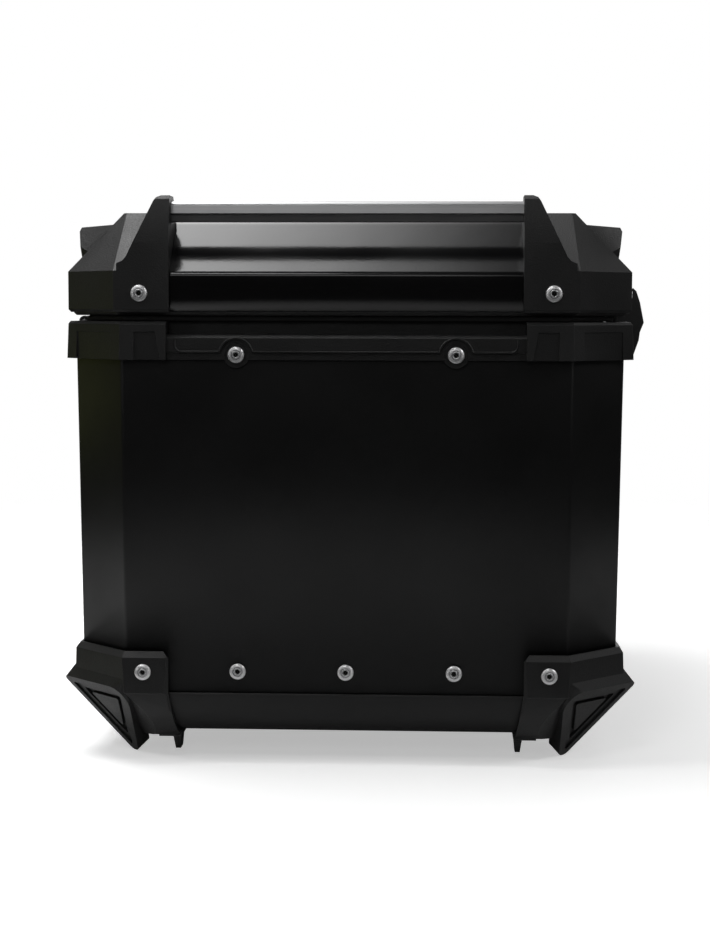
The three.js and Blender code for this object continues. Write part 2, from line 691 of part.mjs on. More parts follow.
// The lever is a curved cover that swings out and down about the pin near its lower edge.
function latchLever() {
  const outline = [
    [170, 228], [169.4, 222.6], [171.5, 220.9], [175, 220.6], [180.9, 222], [184.2, 231.5],
    [184.8, 236.7], [187.3, 243], [184.7, 256], [182.2, 263.5], [180, 265.6], [178, 263.3],
    [180.6, 255], [182.9, 243.6], [180.8, 238], [180, 232.5], [177.5, 227.8],
  ];
  const half = 40.5;
  const cover = barAlongY(outline, -half, half);
  const cheeks = [-1, 1].map((sign) => {
    const near = Math.min(sign * 37.5, sign * half);
    const side = [
      [173, 227], [181, 222.8], [186.5, 243], [181, 262.5], [176, 252], [170, 249], [169.4, 238],
    ];
    return barAlongY(side, near, near + 3);
  });
  const clawEars = [-1, 1].map((sign) => {
    const near = Math.min(sign * 14.5, sign * 18);
    return barAlongY([[173.8, 237.5], [182, 234.5], [184, 243], [182, 247], [174.5, 245]], near, near + 3.5);
  });
  const lockBore = rod('x', LOCK.radius + 0.4, 30, [LOCK.x, 0, LOCK.z], 20);
  const pinBore = rod('y', KNUCKLE_BORE, 120, [LEVER_PIVOT.x, 0, LEVER_PIVOT.z], 16);
  const clawBore = rod('y', KNUCKLE_BORE, 60, [CLAW_PIVOT.x, 0, CLAW_PIVOT.z], 16);
  return cut(join(cover, ...cheeks, ...clawEars), lockBore, pinBore, clawBore);
}

function latchClaw() {
  const outline = [
    [174, 237.8], [179.4, 237.8], [179.8, 242], [177.3, 246.5], [176.2, 259.6], [173.2, 259.6],
    [173.2, 245.5],
  ];
  const half = 14;
  const arm = barAlongY(outline, -half, half);
  return cut(arm, rod('y', KNUCKLE_BORE, 60, [CLAW_PIVOT.x, 0, CLAW_PIVOT.z], 16));
}

function lidKeeper() {
  const outline = [
    [162.7, 251], [165.4, 251], [172.6, 257.4], [172.6, 260.4], [165.4, 261.5], [165.4, 266],
    [162.7, 266],
  ];
  return barAlongY(outline, -20, 20);
}

function lockCylinder() {
  const barrel = rod('x', LOCK.radius, 7, [LOCK.x, 0, LOCK.z], 20);
  const slot = box(LOCK.x + 2.4, LOCK.x + 8, -0.7, 0.7, LOCK.z - 3.6, LOCK.z + 3.6);
  return cut(barrel, slot);
}

// ---------------------------------------------------------------- assembly

place(body, 'body_wall', bodyWall(), 'coatedSheet');
place(body, 'floor_pan', floorPan(), 'coatedSheet');
place(body, 'floor_ring', floorRing(), 'coatedSheet');
place(body, 'floor_plate', floorPlate(), 'brightSteel');
place(body, 'floor_mat', loft(BODY, [[34, 4.3], [34, 6.8]]), 'rubber');
place(body, 'rim_frame', rimFrame(), 'grainedPlastic');

const capShape = rimCornerCap();
const guardShape = cornerGuard();
const blockShape = lidCornerBlock();
forCorners((signX, signY, suffix) => {
  place(body, `rim_cap_${suffix}`, mirrored(capShape, signX, signY), 'grainedPlastic');
  place(body, `corner_guard_${suffix}`, mirrored(guardShape, signX, signY), 'grainedPlastic');
  place(lid, `lid_block_${suffix}`, mirrored(blockShape, signX, signY), 'grainedPlastic');
});

place(lid, 'lid_shell', lidShell(), 'coatedLid');
place(lid, 'lid_frame', lidFrame(), 'grainedPlastic');
place(lid, 'lid_seal', lidSeal(), 'rubber');
place(lid, 'lid_liner', lidLiner(), 'lining');
place(lid, 'rail_right', sideRail(), 'rail');
place(lid, 'rail_left', sideRail(), 'rail', [0, 0, 0], [0, 0, Math.PI]);

const cornerRivets = lowerRivets.filter(([x]) => Math.abs(x) === CORNER_RIVET_X);
const wallRivets = lowerRivets.filter(([x]) => Math.abs(x) < CORNER_RIVET_X);
addRivets(body, 'wall_rivet', wallRivets, BODY.hy - wallInset(LOWER_RIVET_Z), 7.5);
addRivets(body, 'guard_rivet', cornerRivets, BODY.hy + 2.6, 12);
addRivets(body, 'strip_rivet', stripRivets, BODY.hy + GAP + 1.6, 4.4);
addRivets(lid, 'lid_rivet', lidRivets, BLOCK.hy, 8.5);

for (const [sign, side] of [[-1, 'left'], [1, 'right']]) {
  const hinge = new THREE.Group();
  hinge.position.set(HINGE_AXIS.x, sign * HINGE_Y, HINGE_AXIS.z);
  topCase.add(hinge);
  place(hinge, `hinge_body_leaf_${side}`, bodyLeaf(), 'blackSteel');
  place(hinge, `hinge_lid_leaf_${side}`, lidLeaf(), 'blackSteel');
  place(hinge, `hinge_pin_${side}`, rod('y', PIN_RADIUS, 2 * HINGE_HALF, [0, 0, 0]), 'brightSteel');

  const lower = stayLink(STAY.anchorX, STAY.bodyZ, STAY.foldX, STAY.foldZ, STAY_THICKNESS);
  const upper = stayLink(STAY.anchorX, STAY.lidZ, STAY.foldX, STAY.foldZ, STAY_THICKNESS);
  const outerY = sign * STAY.y + (sign < 0 ? -STAY_THICKNESS : 0);
  const innerY = outerY - sign * (STAY_THICKNESS + GAP);
  place(body, `stay_lower_${side}`, lower, 'blackSteel', [0, outerY, 0]);
  place(lid, `stay_upper_${side}`, upper, 'blackSteel', [0, innerY, 0]);
}

const latch = new THREE.Group();
topCase.add(latch);
const pinCentre = [LEVER_PIVOT.x, 0, LEVER_PIVOT.z];
const clawCentre = [CLAW_PIVOT.x, 0, CLAW_PIVOT.z];
place(latch, 'latch_base', latchBase(), 'blackSteel');
place(latch, 'latch_lever', latchLever(), 'grainedPlastic');
place(latch, 'lever_pin', rod('y', PIN_RADIUS, 2 * LATCH_HALF, pinCentre), 'brightSteel');
place(latch, 'latch_claw', latchClaw(), 'blackSteel');
place(latch, 'claw_pin', rod('y', PIN_RADIUS, 36, clawCentre), 'brightSteel');
place(latch, 'lock_cylinder', lockCylinder(), 'brightSteel');
place(lid, 'lid_keeper', lidKeeper(), 'blackSteel');

export default topCase;
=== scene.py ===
"""Looks for an aluminium motorcycle top case: coated sheet metal, grained plastic corners, bright
blind rivets and a padded lid liner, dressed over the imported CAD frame. Metres, +Z up."""
import json
import math
import random

import bmesh
import bpy
from mathutils import Matrix, Vector

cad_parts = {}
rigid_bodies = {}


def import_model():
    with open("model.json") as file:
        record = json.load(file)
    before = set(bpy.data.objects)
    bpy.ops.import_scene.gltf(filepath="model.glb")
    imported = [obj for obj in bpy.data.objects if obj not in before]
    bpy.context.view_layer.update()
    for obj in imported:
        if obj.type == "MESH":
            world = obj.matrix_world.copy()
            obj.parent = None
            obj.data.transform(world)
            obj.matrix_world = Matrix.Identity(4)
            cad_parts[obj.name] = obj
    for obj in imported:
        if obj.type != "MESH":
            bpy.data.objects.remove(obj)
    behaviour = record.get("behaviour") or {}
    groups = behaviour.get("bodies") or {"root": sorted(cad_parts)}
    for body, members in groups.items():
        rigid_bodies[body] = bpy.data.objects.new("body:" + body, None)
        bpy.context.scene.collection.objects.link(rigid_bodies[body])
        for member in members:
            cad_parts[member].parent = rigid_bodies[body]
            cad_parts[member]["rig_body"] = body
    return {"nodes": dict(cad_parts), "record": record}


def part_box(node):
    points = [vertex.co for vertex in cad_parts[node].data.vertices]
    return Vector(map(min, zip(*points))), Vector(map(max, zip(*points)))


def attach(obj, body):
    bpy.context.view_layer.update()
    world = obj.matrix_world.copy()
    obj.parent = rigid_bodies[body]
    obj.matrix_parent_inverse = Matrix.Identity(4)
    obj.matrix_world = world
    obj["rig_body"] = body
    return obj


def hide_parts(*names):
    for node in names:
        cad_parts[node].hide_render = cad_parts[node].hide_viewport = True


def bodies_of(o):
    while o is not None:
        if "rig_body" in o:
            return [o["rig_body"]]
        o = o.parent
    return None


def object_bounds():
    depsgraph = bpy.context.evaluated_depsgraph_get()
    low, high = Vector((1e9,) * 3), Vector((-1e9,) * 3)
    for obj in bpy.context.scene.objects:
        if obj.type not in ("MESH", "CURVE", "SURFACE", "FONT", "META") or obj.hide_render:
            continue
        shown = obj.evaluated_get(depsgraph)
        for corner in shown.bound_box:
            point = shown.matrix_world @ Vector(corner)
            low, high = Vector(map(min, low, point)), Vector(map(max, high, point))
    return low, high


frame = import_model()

CAD_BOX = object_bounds()
NODES = frame["nodes"]
MM = 0.001

# Driving dimensions of the sheet metal, in millimetres
BODY_CUT = 32.0            # 45 degree corner of the body, along each side
LID_CUT = 30.7
LID_WIDTH = 162.4          # half the lid's width
SHEET = 1.5
BEND = 3.5                 # outer bend radius of the body's vertical corners
ROOT2 = math.sqrt(2)

RIVET_SIDES = 48
SCREW_SIDES = 36
HINGE_BODY_FACE = -166.9    # where the hinge leaves' outer faces stand, along X
HINGE_LID_FACE = -164.5
CLOTH_STEPS = 20           # frames the liner's cloth is given to settle


# ------------------------------------------------------------------ mesh helpers

def span(node):
    """A CAD node's lowest and highest corners, in millimetres."""
    low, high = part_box(node)
    return low / MM, high / MM


def body_of(node):
    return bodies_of(NODES[node])[0]


def mesh_object(name, vertices, faces, look, smooth=True):
    """A piece from vertices in millimetres."""
    mesh = bpy.data.meshes.new(name)
    mesh.from_pydata([Vector(v) * MM for v in vertices], [], faces)
    if smooth:
        mesh.polygons.foreach_set("use_smooth", [True] * len(mesh.polygons))
    mesh.materials.append(look)
    piece = bpy.data.objects.new(name, mesh)
    bpy.context.scene.collection.objects.link(piece)
    return piece


def stand_for(piece, slot, *nodes):
    """The piece is shown instead of these CAD nodes and moves with their body."""
    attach(piece, body_of(nodes[0]))
    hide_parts(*nodes)
    return piece


def fillet(points, radii, steps=5):
    """Rounds the corners of an open polyline of equal-length tuples; the first two values are
    the plane the corner turns in."""
    rounded = [points[0]]
    for index in range(1, len(points) - 1):
        corner = Vector(points[index])
        before = Vector(points[index - 1]) - corner
        after = Vector(points[index + 1]) - corner
        radius = radii.get(index, 0)
        if not radius:
            rounded.append(tuple(corner))
            continue
        turn = before.to_2d().angle(after.to_2d())
        reach = min(radius / math.tan(turn / 2), before.to_2d().length / 2, after.to_2d().length / 2)
        start = corner + before * (reach / before.to_2d().length)
        end = corner + after * (reach / after.to_2d().length)
        for step in range(steps + 1):
            t = step / steps
            rounded.append(tuple(start * (1 - t) ** 2 + corner * 2 * t * (1 - t) + end * t ** 2))
    rounded.append(points[-1])
    return rounded


def octagon_ring(hx, hy, cut, z, radius, steps=4):
    """Points round an octagon with 45 degree corners, each of its eight bends rounded."""
    corners = [
        (hx, cut - hy), (hx, hy - cut), (hx - cut, hy), (cut - hx, hy),
        (-hx, hy - cut), (-hx, cut - hy), (cut - hx, -hy), (hx - cut, -hy),
    ]
    reach = min(radius * math.tan(math.pi / 8), cut * ROOT2 / 2.2)
    ring = []
    for index, corner in enumerate(corners):
        here = Vector(corner)
        before = (Vector(corners[index - 1]) - here).normalized()
        after = (Vector(corners[(index + 1) % 8]) - here).normalized()
        for step in range(steps + 1):
            t = step / steps
            point = (here + before * reach) * (1 - t) ** 2 + here * 2 * t * (1 - t)
            point += (here + after * reach) * t ** 2
            ring.append((point.x, point.y, z))
    return ring


def loft(name, hx, hy, cut, levels, look, bend=BEND, closed_ring=True, cap=False):
    """A shell through [inset, z, corner inset] levels of an octagon."""
    vertices = []
    for inset, z, corner in levels:
        level_cut = cut - 2 * inset + ROOT2 * corner
        vertices += octagon_ring(hx - inset, hy - inset, max(level_cut, 1.0), z, bend)
    per_ring = len(vertices) // len(levels)
    faces = []
    bands = len(levels) if closed_ring else len(levels) - 1
    for band in range(bands):
        low = band * per_ring
        high = ((band + 1) % len(levels)) * per_ring
        for side in range(per_ring):
            after = (side + 1) % per_ring
            faces.append((low + side, low + after, high + after, high + side))
    if cap:
        faces.append(tuple(reversed(range(per_ring))))
        last = (len(levels) - 1) * per_ring
        faces.append(tuple(range(last, last + per_ring)))
    return mesh_object(name, vertices, faces, look)


def even(levels):
    """Adds the corner inset to levels whose corners are set in as far as their sides."""
    return [(inset, z, inset) for inset, z in levels]


def lathe(profile, sides):
    """Vertices and faces of a profile of (radius, height) turned about +Z."""
    vertices, faces = [], []
    for radius, height in profile:
        for side in range(sides):
            angle = 2 * math.pi * side / sides
            vertices.append((radius * math.cos(angle), radius * math.sin(angle), height))
    for row in range(len(profile) - 1):
        for side in range(sides):
            after = (side + 1) % sides
            low, high = row * sides, (row + 1) * sides
            faces.append((low + side, low + after, high + after, high + side))
    return vertices, faces


# ------------------------------------------------------------------ materials

class Look:
    """One Principled material built from procedural nodes in object space."""

    def __init__(self, name, metallic=0.0, coat=0.0, coat_roughness=0.2):
        self.material = bpy.data.materials.new(name)
        self.material.use_nodes = True
        self.tree = self.material.node_tree
        self.shader = self.tree.nodes["Principled BSDF"]
        self.shader.inputs["Metallic"].default_value = metallic
        self.shader.inputs["Coat Weight"].default_value = coat
        self.shader.inputs["Coat Roughness"].default_value = coat_roughness
        self.place = self.tree.nodes.new("ShaderNodeTexCoord").outputs["Object"]
        self.normal = None

    def node(self, kind, **inputs):
        made = self.tree.nodes.new(kind)
        for key, value in inputs.items():
            socket = made.inputs[key.replace("_", " ")]
            if isinstance(value, bpy.types.NodeSocket):
                self.tree.links.new(value, socket)
            else:
                socket.default_value = value
        return made

    def stretched(self, x, y, z):
        return self.node("ShaderNodeMapping", Vector=self.place, Scale=(x, y, z)).outputs["Vector"]

    def noise(self, size, detail=2.0, where=None):
        """Noise of about 0 to 1 whose blotches are `size` millimetres across."""
        made = self.node("ShaderNodeTexNoise", Vector=where or self.place, Scale=1 / (size * MM),
                         Detail=detail)
        return made.outputs[0]

    def grain(self, size):
        """Cell distance of a leather-like grain with cells `size` millimetres across."""
        made = self.node("ShaderNodeTexVoronoi", Vector=self.place, Scale=1 / (size * MM))
        made.feature = "SMOOTH_F1"
        return made.outputs["Distance"]

    def between(self, value, low, high, start=0.3, end=0.7):
        made = self.node("ShaderNodeMapRange", Value=value)
        made.inputs["From Min"].default_value = start
        made.inputs["From Max"].default_value = end
        made.inputs["To Min"].default_value = low
        made.inputs["To Max"].default_value = high
        return made.outputs["Result"]

    def maths(self, operation, first, second):
        made = self.tree.nodes.new("ShaderNodeMath")
        made.operation = operation
        for socket, value in zip(made.inputs, (first, second)):
            if isinstance(value, bpy.types.NodeSocket):
                self.tree.links.new(value, socket)
            else:
                socket.default_value = value
        return made.outputs[0]

    def tint(self, value, dark, light):
        made = self.tree.nodes.new("ShaderNodeMix")
        made.data_type = "RGBA"
        self.tree.links.new(value, made.inputs["Factor"])
        made.inputs["A"].default_value = (*dark, 1)
        made.inputs["B"].default_value = (*light, 1)
        return made.outputs["Result"]

    def rounded_edges(self, radius):
        """0 on flats and towards 1 on sharp edges within `radius` millimetres."""
        soft = self.node("ShaderNodeBevel", Radius=radius * MM).outputs["Normal"]
        true = self.tree.nodes.new("ShaderNodeNewGeometry").outputs["Normal"]
        made = self.tree.nodes.new("ShaderNodeVectorMath")
        made.operation = "DOT_PRODUCT"
        self.tree.links.new(soft, made.inputs[0])
        self.tree.links.new(true, made.inputs[1])
        return self.between(made.outputs["Value"], 1.0, 0.0, 0.75, 1.0)

    def bump(self, height, depth, strength=1.0):
        """Stacks a height map, `depth` millimetres deep, on the material's normal."""
        made = self.node("ShaderNodeBump", Height=height, Distance=depth * MM, Strength=strength)
        if self.normal:
            self.tree.links.new(self.normal, made.inputs["Normal"])
        self.normal = made.outputs["Normal"]

    def finish(self, colour, roughness):
        self.tree.links.new(colour, self.shader.inputs["Base Color"])
        self.tree.links.new(roughness, self.shader.inputs["Roughness"])
        if self.normal:
            self.tree.links.new(self.normal, self.shader.inputs["Normal"])
        return self.material


def coated_sheet():
    """Satin black powder coat: a fine orange peel with slow changes in gloss, and rounded edges painted
    lighter as a highlight.
    """
    look = Look("coated_sheet")
    look.shader.inputs["Specular IOR Level"].default_value = 0.42
    blotch = look.noise(55, 3)
    peel = look.noise(0.9, 2)
    # Painted highlight: the colour is lighter on rounded edges, standing in for the sheen that the
    # bevels catch.
    painted_edge_sheen = look.maths("MULTIPLY", look.rounded_edges(0.8), look.between(look.noise(6, 4), 0, 0.5))
    colour = look.tint(look.maths("ADD", look.between(blotch, 0.1, 0.6), painted_edge_sheen),
                       (0.0028, 0.0028, 0.0030), (0.0052, 0.0052, 0.0054))
    look.bump(peel, 0.05)
    look.bump(look.noise(14, 1), 0.12)
    return look.finish(colour, look.between(blotch, 0.42, 0.52))


def coated_lid():
    """Semi-gloss black coat on the pressed lid: smoother, with a slight orange peel."""
    look = Look("coated_lid")
    blotch = look.noise(45, 3)
    colour = look.tint(blotch, (0.0045, 0.0045, 0.0048), (0.0075, 0.0075, 0.0078))
    look.bump(look.noise(1.6, 1), 0.02)
    look.bump(look.noise(24, 1), 0.10)
    return look.finish(colour, look.between(blotch, 0.13, 0.19))


def grained_plastic():
    """Black moulded plastic with a fine leather grain, a little greyer on its edges: a painted
    highlight along the rounded edges.
    """
    look = Look("grained_plastic")
    look.shader.inputs["Specular IOR Level"].default_value = 0.58
    blotch = look.noise(30, 3)
    # Painted highlight: the rounded edges are lightened in colour, standing in for the light that they
    # catch.
    edges = look.maths("MULTIPLY", look.rounded_edges(0.7), look.between(look.noise(3, 3), 0.2, 1.0))
    colour = look.tint(look.maths("ADD", look.between(blotch, 0, 0.5), edges),
                       (0.0030, 0.0030, 0.0031), (0.0075, 0.0075, 0.0077))
    look.bump(look.grain(0.8), 0.10, 0.8)
    look.bump(look.noise(0.35, 2), 0.03, 0.6)
    roughness = look.maths("ADD", look.between(blotch, 0.44, 0.54),
                           look.between(look.grain(0.8), 0, 0.08))
    return look.finish(colour, roughness)


def anodised_rail():
    """Dark grey anodised extrusion with fine draw lines along its length."""
    look = Look("anodised_rail", metallic=1.0)
    lines = look.noise(0.5, 3, look.stretched(0.006, 1, 1))
    blotch = look.noise(22, 3)
    colour = look.tint(look.maths("MULTIPLY", lines, look.between(blotch, 0.7, 1.0)),
                       (0.26, 0.26, 0.265), (0.40, 0.40, 0.405))
    look.bump(lines, 0.015, 0.8)
    return look.finish(colour, look.between(lines, 0.30, 0.42))


def bright_rivet():
    """Bright tumbled aluminium with small dents."""
    look = Look("bright_rivet", metallic=0.6)
    dents = look.noise(1.1, 3)
    colour = look.tint(dents, (0.90, 0.90, 0.91), (1.0, 1.0, 1.0))
    look.bump(dents, 0.06, 0.8)
    return look.finish(colour, look.between(look.noise(0.5, 2), 0.28, 0.44))


def rivet_collar():
    """The duller, darker ring of a rivet's head: its grey is painted shade for the groove round the
    collar, mottled with fine noise.
    """
    look = Look("rivet_collar", metallic=0.75)
    collar_mottle = look.noise(0.5, 3)
    look.bump(collar_mottle, 0.08, 0.8)
    # Painted shade: a darker grey than the head, standing in for the shadowed groove round the collar.
    return look.finish(look.tint(collar_mottle, (0.42, 0.42, 0.43), (0.85, 0.85, 0.86)),
                       look.between(collar_mottle, 0.28, 0.42))


def rivet_stem():
    """The broken steel stem left inside a blind rivet."""
    look = Look("rivet_stem", metallic=1.0)
    rough = look.noise(0.3, 3)
    look.bump(rough, 0.1)
    return look.finish(look.tint(rough, (0.008, 0.008, 0.008), (0.05, 0.049, 0.047)),
                       look.between(rough, 0.35, 0.6))


def black_steel():
    """Black coated steel whose rounded edges are painted lighter, as a highlight."""
    look = Look("black_steel", metallic=0.2)
    patch = look.noise(9, 4)
    # Painted highlight: the colour is lighter on rounded edges, standing in for the light that they
    # catch.
    painted_edge_glint = look.maths("MULTIPLY", look.rounded_edges(0.6),
                        look.between(look.noise(2, 4), 0, 1, 0.4, 0.7))
    look.bump(look.noise(0.7, 2), 0.03)
    colour = look.tint(look.maths("ADD", look.between(patch, 0, 0.3), painted_edge_glint),
                       (0.010, 0.010, 0.0105), (0.09, 0.09, 0.092))
    return look.finish(colour, look.between(patch, 0.34, 0.5))


def bright_steel():
    """Plain satin steel with fine random scratches."""
    look = Look("bright_steel", metallic=1.0)
    scratches = look.noise(0.6, 4, look.stretched(1, 0.05, 1))
    look.bump(scratches, 0.02)
    return look.finish(look.tint(scratches, (0.36, 0.36, 0.37), (0.68, 0.68, 0.69)),
                       look.between(scratches, 0.26, 0.42))


def black_rubber():
    """Matte rubber with a dusty bloom."""
    look = Look("black_rubber")
    dust = look.noise(12, 5)
    look.bump(look.noise(0.6, 3), 0.04)
    colour = look.tint(dust, (0.020, 0.020, 0.020), (0.048, 0.0475, 0.047))
    return look.finish(colour, look.between(dust, 0.72, 0.9))


def felt():
    """Dark grey felt: matted fibres with a soft sheen."""
    look = Look("felt")
    fibres = look.noise(0.8, 5, look.stretched(1, 2.4, 1))
    cloud = look.noise(26, 3)
    look.bump(fibres, 0.35, 0.9)
    look.shader.inputs["Sheen Weight"].default_value = 0.35
    look.shader.inputs["Sheen Roughness"].default_value = 0.5
    colour = look.tint(look.maths("MULTIPLY", fibres, look.between(cloud, 0.7, 1.1)),
                       (0.080, 0.080, 0.084), (0.210, 0.210, 0.218))
    return look.finish(colour, look.between(cloud, 0.86, 0.96))


def thread():
    """Grey polyester sewing thread."""
    look = Look("thread")
    twist = look.noise(0.3, 2)
    look.bump(twist, 0.05)
    return look.finish(look.tint(twist, (0.10, 0.10, 0.105), (0.2, 0.2, 0.205)),
                       look.between(twist, 0.55, 0.7))


LOOKS = {
    "coated_sheet": coated_sheet(),
    "coated_lid": coated_lid(),
    "grained_plastic": grained_plastic(),
    "rail": anodised_rail(),
    "rivet": bright_rivet(),
    "black_steel": black_steel(),
    "bright_steel": bright_steel(),
    "rubber": black_rubber(),
    "lining": felt(),
}


# ------------------------------------------------------------------ carried-over CAD parts

SLOT_OF = {row["node"]: row["material_slot"] for row in frame["record"]["subparts"]}
EDGE_RADIUS = {"grained_plastic": 0.9, "rail": 0.6, "black_steel": 0.35, "bright_steel": 0.2}
# The floor pan's rack pad has an outline that crosses itself, and merging its faces spreads that fold.
KEEPS_FACETS = ("floor_pan",)
BEVEL_ANGLE = math.radians(28)     # edges sharper than this are rounded
FLAT_ANGLE = math.radians(0.4)     # faces closer to one plane than this are merged


def dress(name):
    """Gives a CAD node its material and rounds its edges with modifiers."""
    node = NODES[name]
    slot = SLOT_OF[name]
    node.data.materials.clear()
    node.data.materials.append(LOOKS[slot])
    node.data.polygons.foreach_set("use_smooth", [True] * len(node.data.polygons))
    weld = node.modifiers.new("weld", "WELD")
    weld.merge_threshold = 1e-6
    if name not in KEEPS_FACETS:
        flatten = node.modifiers.new("flatten", "DECIMATE")
        flatten.decimate_type = "DISSOLVE"
        flatten.angle_limit = FLAT_ANGLE
    bevel = node.modifiers.new("rounded_edges", "BEVEL")
    bevel.limit_method = "ANGLE"
    bevel.angle_limit = BEVEL_ANGLE
    bevel.width = EDGE_RADIUS.get(slot, 0.3) * MM
    bevel.segments = 3
    bevel.use_clamp_overlap = True
    bevel.harden_normals = False
    node.modifiers.new("even_normals", "WEIGHTED_NORMAL").keep_sharp = True


# ------------------------------------------------------------------ sheet metal

WALL_LEAN = 2.5            # how far the wall leans in from the rim to the floor


def high_straight():
    """Height above which the wall stands upright, behind the rim."""
    return span("body_wall")[1].z - 10.6


def body_wall():
    """Folded wall: an octagonal tube that leans in towards the floor."""
    low, high = span("body_wall")
    taper = WALL_LEAN
    straight = high_straight()
    outer = [(taper, low.z), (0, straight), (0, high.z)]
    inner = [(SHEET, high.z), (SHEET, straight), (taper + SHEET, low.z)]
    levels = even(outer + inner)
    piece = loft("body_wall_sheet", high.x, high.y, BODY_CUT, levels, LOOKS["coated_sheet"])
    return stand_for(piece, "coated_sheet", "body_wall")


def lid_shell():
    """Pressed lid: upright skirt, 45 degree slopes and a flat top, with soft creases."""
    low, high = span("lid_shell")
    crease_z = 271.4
    slope = 31.3

    def corner(inset, left_cut):
        return (left_cut - LID_CUT + 2 * inset) / ROOT2

    outer = [
        (0, low.z, 0), (0, crease_z, 0), (slope, high.z, corner(slope, 2)),
        (slope + 40, high.z, corner(slope + 40, 2)),
    ]
    inner = [
        (slope + 40, high.z - SHEET, corner(slope + 40, 2)),
        (slope + 0.6, high.z - SHEET, corner(slope + 0.6, 2)),
        (SHEET, crease_z - 0.6, SHEET), (SHEET, low.z, SHEET),
    ]
    outside = fillet(outer, {1: 5, 2: 9}, 6)
    inside = fillet(inner, {1: 7, 2: 4}, 4)
    levels = outside + inside
    piece = loft("lid_shell_pressing", high.x, high.y, LID_CUT, levels, LOOKS["coated_lid"], 4)
    close_lid_top(piece, len(outside), len(levels))
    return stand_for(piece, "coated_lid", "lid_shell")


def close_lid_top(piece, outer_levels, all_levels):
    """Replaces the last band between outer and inner top rings with two flat panels."""
    mesh = bmesh.new()
    mesh.from_mesh(piece.data)
    mesh.verts.ensure_lookup_table()
    per_ring = len(mesh.verts) // all_levels
    upper = [mesh.verts[(outer_levels - 1) * per_ring + i] for i in range(per_ring)]
    under = [mesh.verts[outer_levels * per_ring + i] for i in range(per_ring)]
    upper_set, under_set = set(upper), set(under)
    band = [f for f in mesh.faces if upper_set & set(f.verts) and under_set & set(f.verts)]
    bmesh.ops.delete(mesh, geom=band, context="FACES_ONLY")
    mesh.faces.new(upper).smooth = True
    mesh.faces.new(list(reversed(under))).smooth = True
    mesh.to_mesh(piece.data)
    mesh.free()


# ------------------------------------------------------------------ rivets

RIVET_RADIUS = 4.75
RIVET_CROWN = 2.0


def facing(seat, outward):
    """Stands a piece drawn along +Z at `seat`, pointing `outward`."""
    return Matrix.Translation(seat) @ Vector(outward).to_track_quat("Z", "Y").to_matrix().to_4x4()


def rivet_shape():
    """Vertices, faces and the material index of each face of a rivet along +Z."""
    radius, crown = RIVET_RADIUS, RIVET_CROWN
    dome = [(radius, 0.0), (radius, 0.35)]
    for step in range(7):
        angle = math.pi / 2 * step / 6
        dome.append((radius - 1.9 + 1.9 * math.cos(angle), 0.35 + 1.3 * math.sin(angle)))
    collar = [
        dome[-1], (2.7, 1.25), (2.55, 1.1), (2.4, 1.25), (2.3, crown - 0.25), (2.05, crown),
        (1.75, crown), (1.55, crown - 0.3), (1.4, 1.2), (1.25, 0.6),
    ]
    stem = [(1.25, 0.6), (1.0, 0.8), (0.55, 0.95), (0.02, 1.0)]
    vertices, faces, indices = [], [], []
    for index, profile in enumerate((dome, collar, stem)):
        band, band_faces = lathe(profile, RIVET_SIDES)
        faces += [tuple(corner + len(vertices) for corner in face) for face in band_faces]
        indices += [index] * len(band_faces)
        vertices += band
    return vertices, faces, indices


def rivet(name, seat, outward):
    """A blind rivet whose flange sits at `seat` (millimetres) and points `outward`."""
    vertices, faces, indices = rivet_shape()
    spin = Matrix.Rotation(random.uniform(0, math.tau), 4, "Z")
    place = facing(seat, outward) @ spin
    piece = mesh_object(name, [place @ Vector(v) for v in vertices], faces, LOOKS["rivet"])
    piece.data.materials.append(COLLAR)
    piece.data.materials.append(STEM)
    piece.data.polygons.foreach_set("material_index", indices)
    return piece


def turned_rivets():
    """A smooth rivet for each CAD rivet, in its place."""
    for node in sorted(name for name in NODES if "_rivet_" in name):
        low, high = span(node)
        centre = (low + high) / 2
        sign = -1 if centre.y < 0 else 1
        face = (low.y if sign < 0 else high.y) - sign * RIVET_CROWN
        stand_for(rivet(node + "_turned", (centre.x, face, centre.z), (0, sign, 0)), "rivet", node)
        REBUILT.add(node)


def end_rivets():
    """Rivets on the latch end and the hinge end, where the side rivets' rows carry on."""
    row_z = (span("wall_rivet_left_1")[0].z + span("wall_rivet_left_1")[1].z) / 2
    lid_z = (span("lid_rivet_left_1")[0].z + span("lid_rivet_left_1")[1].z) / 2
    wall = span("body_wall")[1].x
    lean = WALL_LEAN * (high_straight() - row_z) / (high_straight() - span("body_wall")[0].z)
    block = span("lid_block_rear_right")[1].x
    for sign, end in ((-1, "front"), (1, "rear")):
        rows = [("wall", y, row_z, wall - lean, "body") for y in (-99, -33, 33, 99)]
        rows += [("lid", y, lid_z, block, "lid") for y in (-161.5, 161.5)]
        for index, (kind, y, z, x, body) in enumerate(rows):
            piece = rivet(f"{kind}_rivet_{end}_{index + 1}", (sign * x, y, z), (sign, 0, 0))
            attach(piece, body)


